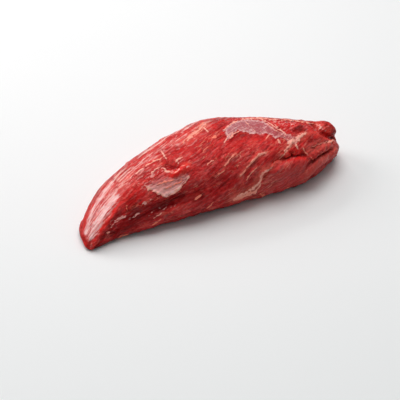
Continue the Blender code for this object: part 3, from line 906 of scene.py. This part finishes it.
def paint(red, green, blue):
    """A colour as a shader takes it, from the usual 0 to 255 a channel."""
    channel = np.array([red, green, blue]) / 255
    linear = np.where(channel <= 0.04045, channel / 12.92, ((channel + 0.055) / 1.055) ** 2.4)
    return (*linear.tolist(), 1.0)


LEAN_TONES = (
    (0.00, paint(118, 3, 8)),
    (0.26, paint(160, 13, 17)),
    (0.50, paint(198, 32, 34)),
    (0.76, paint(222, 57, 54)),
    (1.00, paint(242, 102, 90)),
)
DULL_LEAN = paint(196, 74, 72)
BRIGHT_LEAN = paint(234, 40, 37)
DEEP_RED = paint(115, 2, 6)
PALE_FAT = paint(255, 182, 164)
ORANGE_FAT = paint(255, 128, 102)
STAINED_LEAN = paint(244, 128, 106)
HIGH_SHEET = paint(184, 104, 110)
LOW_SHEET = paint(250, 178, 172)
SHEET_EDGE = paint(252, 204, 198)
RIM_COLOUR = paint(255, 206, 196)
MARBLING = paint(240, 146, 120)
PALE_STRAND = paint(234, 112, 92)
FROST = paint(246, 182, 174)
# the colour of the painted sheen on the tip's wet face
GLINT = paint(255, 202, 199)
# the colour of the painted glints
DROP = paint(255, 176, 168)

meat = bpy.data.materials.new("raw_beef")
meat.use_nodes = True
bench = Wire(meat.node_tree)
noted = bench.noted
place = bench.node("ShaderNodeTexCoord", output="Object")

# The patterns stray from their places by up to half of STRAY metres, in waves of STRAY_SCALE to the metre
STRAY = 0.0024
STRAY_SCALE = 110.0
stray = bench.node("ShaderNodeTexNoise", {}, {"Vector": place, "Scale": STRAY_SCALE, "Detail": 2.0}, 1)
stray = bench.vectors("MULTIPLY_ADD", stray, (STRAY,) * 3, (-STRAY / 2,) * 3)
fibre = bench.vectors("ADD", stray, noted("fibre", "Vector"))
place = bench.vectors("ADD", stray, place)

# Patterns: their length and width in metres, then their shift, detail and roughness
strand = fibre.grain(0.0085, 0.0024, roughness=0.6)
thread = fibre.grain(0.0120, 0.0014, 31.0, 1.0)
bundle = fibre.grain(0.022, 0.0048)
band = fibre.grain(0.050, 0.0130)
blotch = place.grain(0.016, 0.016)
speck = place.grain(0.0030, 0.0030, detail=1.0)
fat_crumb = place.grain(0.0034, 0.0034, 41.0)
patches = place.grain(0.026, 0.026, 21.0).between(0.38, 0.62)
pallor = fibre.grain(0.030, 0.0060, 3.1).between(0.48, 0.68)
flecks = fibre.grain(0.0060, 0.0021, 12.3, 1.0).between(0.56, 0.68)
dark_flecks = fibre.grain(0.0060, 0.0026, 15.7, 1.0).between(0.56, 0.70)
rim_streaks = fibre.grain(0.030, 0.0034).between(0.48, 0.64)
sheen_streaks = fibre.grain(0.014, 0.0024, 18.8, 3.0, 0.65).between(0.38, 0.57)
wetness = fibre.grain(0.006, 0.0030, 8.1).between(0.42, 0.58)
painted_glint_specks = (fibre.grain(0.0036, 0.0020, 27.1) + 0.09 * noted("glinting")).between(0.61, 0.69)
web = fibre.grain(0.020, 0.0045, 6.0).lines(0.03) + fibre.grain(0.0045, 0.020, 9.0).lines(0.03)

# Thin lines, each kept to patches: the pattern and half width of the lines, then the patches and their edges
dark_strands, pale_strands, veins = (
    fibre.grain(*line).lines(half_width) * fibre.grain(*patch).between(*edges)
    for line, half_width, patch, edges in (
        ((0.010, 0.0030, 7.3), 0.045, (0.014, 0.0070, 1.7), (0.48, 0.62)),
        ((0.010, 0.0030, 5.9), 0.040, (0.012, 0.0060, 9.2), (0.50, 0.64)),
        ((0.022, 0.0048, 2.2, 3.0), 0.024, (0.030, 0.012, 4.4), (0.52, 0.62)),
    )
)

# The lean's tone, from the darkest at 0 to the palest at 1: its usual tone, the patterns to both sides of it,
# and what the masks add: the painted shade takes from it, the painted light and the painted sheen add to it
USUAL_TONE = 0.47
hidden = noted("dark").between(0.0, 1.0)  # painted shade: from the light, down in a hollow
lit = 1 - hidden
calm = 1 - 0.6 * noted("frost")  # keeps dark marks faint under the frost
tone = (
    USUAL_TONE
    + (0.35 + 0.6 * patches) * (strand - 0.5)
    + 0.55 * (speck - 0.5)
    + 0.6 * (bundle - 0.5)
    + 0.4 * (band - 0.5)
    + 0.7 * (blotch - 0.5)
    + (0.5 - 0.25 * noted("frost")) * (thread - 0.5)
    - 0.42 * hidden
    + 0.16 * noted("bright")
    + 0.06 * noted("dull")
    + 0.22 * noted("sheen")
    + 0.10 * noted("frost")
)
lean = bench.node("ShaderNodeValToRGB", {"stops": LEAN_TONES}, {0: tone})

# Tints over the lean, one on the other: where and how strong, and the colour. The deep red in the grooves is
# painted shade, the bright red and the glint colour are painted light and the painted sheen, the dull,
# stained and frost tints are partly painted light, and lit keeps the tints out of the painted shade
for strength, colour in (
    (0.50 * noted("dull") * lit, DULL_LEAN),
    (0.20 * pallor * lit, DULL_LEAN),
    ((0.20 * noted("grooves") + 0.36 * dark_strands) * calm, DEEP_RED),
    (0.60 * noted("stained") * lit, STAINED_LEAN),
    (0.55 * pale_strands * lit, PALE_STRAND),
    (0.65 * veins * lit, MARBLING),
    (0.28 * dark_flecks * calm, DEEP_RED),
    ((0.10 + 0.6 * noted("frost")) * flecks * lit, FROST),
    (0.75 * noted("bright") + 0.45 * noted("sheen"), BRIGHT_LEAN),
    ((0.02 + 0.74 * rim_streaks) * noted("rim"), RIM_COLOUR),
    ((1.40 * noted("sheen") + 0.95 * (sheen_streaks - 0.85)).between(0.0, 1.25), GLINT),
):
    lean = strength.mixed(lean, colour)

# Silverskin over the lean: its ragged edge is whiter than its middle, and it clears towards its thin end
for name, colour in {"high_sheet": HIGH_SHEET, "low_sheet": LOW_SHEET}.items():
    veil_there = noted(name + "_veil")
    inside = noted(name) + 3.6 * (speck - 0.5) + 3.8 * (strand - 0.5)
    covers = inside.between(-0.3, 1.5)
    edge = covers * (1 - inside.between(0.9, 2.6)) * veil_there.between(0.15, 0.65)
    colour = veil_there.between(0.10, 0.55).mixed(HIGH_SHEET, colour)
    whiter = 0.35 * web + 0.6 * edge + 0.5 * (strand - 0.5) + 0.9 * (thread - 0.5)
    uneven = 0.5 * ((strand - 0.5) + (thread - 0.5) + (blotch - 0.5))
    thickness = 0.05 + 0.95 * veil_there + 0.15 * edge + uneven
    lean = (covers * thickness.between(0.0, 1.1)).mixed(lean, whiter.mixed(colour, SHEET_EDGE))

# Fat over both, and the painted glints: pale specks where wet spots catch the light
ragged = 1.8 * (speck - 0.5) + 1.6 * (strand - 0.5)
crumbly = (0.02 + 0.9 * strand + 0.8 * fat_crumb).between(0.25, 1.0)
fat_shows = (noted("fat") + ragged).between(0.15, 0.60) * crumbly
lean = fat_shows.mixed(lean, noted("orange").mixed(PALE_FAT, ORANGE_FAT))
lean = (painted_glint_specks * noted("glinting")).mixed(lean, DROP)

relief = (0.42 * strand + 0.80 * speck + 0.45 * bundle + 0.3 * thread) * (1 - 0.3 * noted("sheen"))
skin_shader = {
    "Base Color": lean,
    "Roughness": 0.48 - 0.22 * wetness,
    "Normal": bench.node("ShaderNodeBump", {}, {"Strength": 1.0, "Distance": 0.0014, "Height": relief}),
    "Coat Weight": (0.03 + 0.6 * noted("wet")) * wetness,
    "Coat Roughness": 0.12,
    "Specular IOR Level": 0.09,
    "Specular Tint": paint(255, 200, 194),
    "Subsurface Weight": 0.10,
    "Subsurface Radius": (1.0, 0.22, 0.12),
    "Subsurface Scale": 0.002,
}
fill(meat.node_tree.nodes["Principled BSDF"], skin_shader)
muscle_mesh.materials.append(meat)
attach(muscle, "root")
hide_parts("beef_tri_tip")

# The studio: a plain pale floor. A square softbox high at the back gives the short soft shadow, and a pale
# ceiling and daylight all round fill it in. A window at the left and a small lamp light the tip's wet face,
# whose bright sheen is also painted into its colour. The lamps are a little warm and the daylight is
# cooler, so the lit floor stays grey.
FLOOR_SIDE = 6.0
FLOOR_DROP = 0.0002  # keeps the floor just under the meat's flat side
FLOOR_COLOUR = paint(243, 243, 243)
WARM = (1.0, 0.95, 0.95)
DAYLIGHT = (0.60, 1.0, 1.0, 1.0)
DAYLIGHT_STRENGTH = 0.13

floor_mesh = bpy.data.meshes.new("floor")
half = FLOOR_SIDE / 2
corners = [(x * half, y * half, -FLOOR_DROP) for x, y in ((-1, -1), (1, -1), (1, 1), (-1, 1))]
floor_mesh.from_pydata(corners, [], [(0, 1, 2, 3)])
floor = bpy.data.objects.new("floor", floor_mesh)
scene.collection.objects.link(floor)
pale = bpy.data.materials.new("pale_floor")
pale.use_nodes = True
floor_shader = {"Base Color": FLOOR_COLOUR, "Roughness": 0.85, "Specular IOR Level": 0.2}
fill(pale.node_tree.nodes["Principled BSDF"], floor_shader)
floor_mesh.materials.append(pale)


def soft_light(name, azimuth, lift, distance, size, power):
    """A flat lamp of a size and power that faces the meat from an azimuth, a lift and a distance."""
    lamp = bpy.data.lights.new(name, "AREA")
    lamp.shape = "RECTANGLE"
    lamp.size, lamp.size_y = size
    lamp.energy = power
    lamp.color = WARM
    directions = looking_in(azimuth, lift)
    stand(name, lamp, directions[2] * distance, directions)


soft_light("softbox", 92, 75, 1.5, (1.2, 1.2), 15.5)
soft_light("ceiling", 60, 80, 1.6, (3.0, 3.0), 7.2)
soft_light("window", 155, 32, 1.8, (0.9, 0.8), 11.5)
soft_light("spark", 118, 42, 1.8, (0.22, 0.22), 2.6)

world = bpy.data.worlds.new("studio")
world.use_nodes = True
fill(world.node_tree.nodes["Background"], {"Color": DAYLIGHT, "Strength": DAYLIGHT_STRENGTH})
scene.world = world
scene.view_settings.view_transform = "Standard"
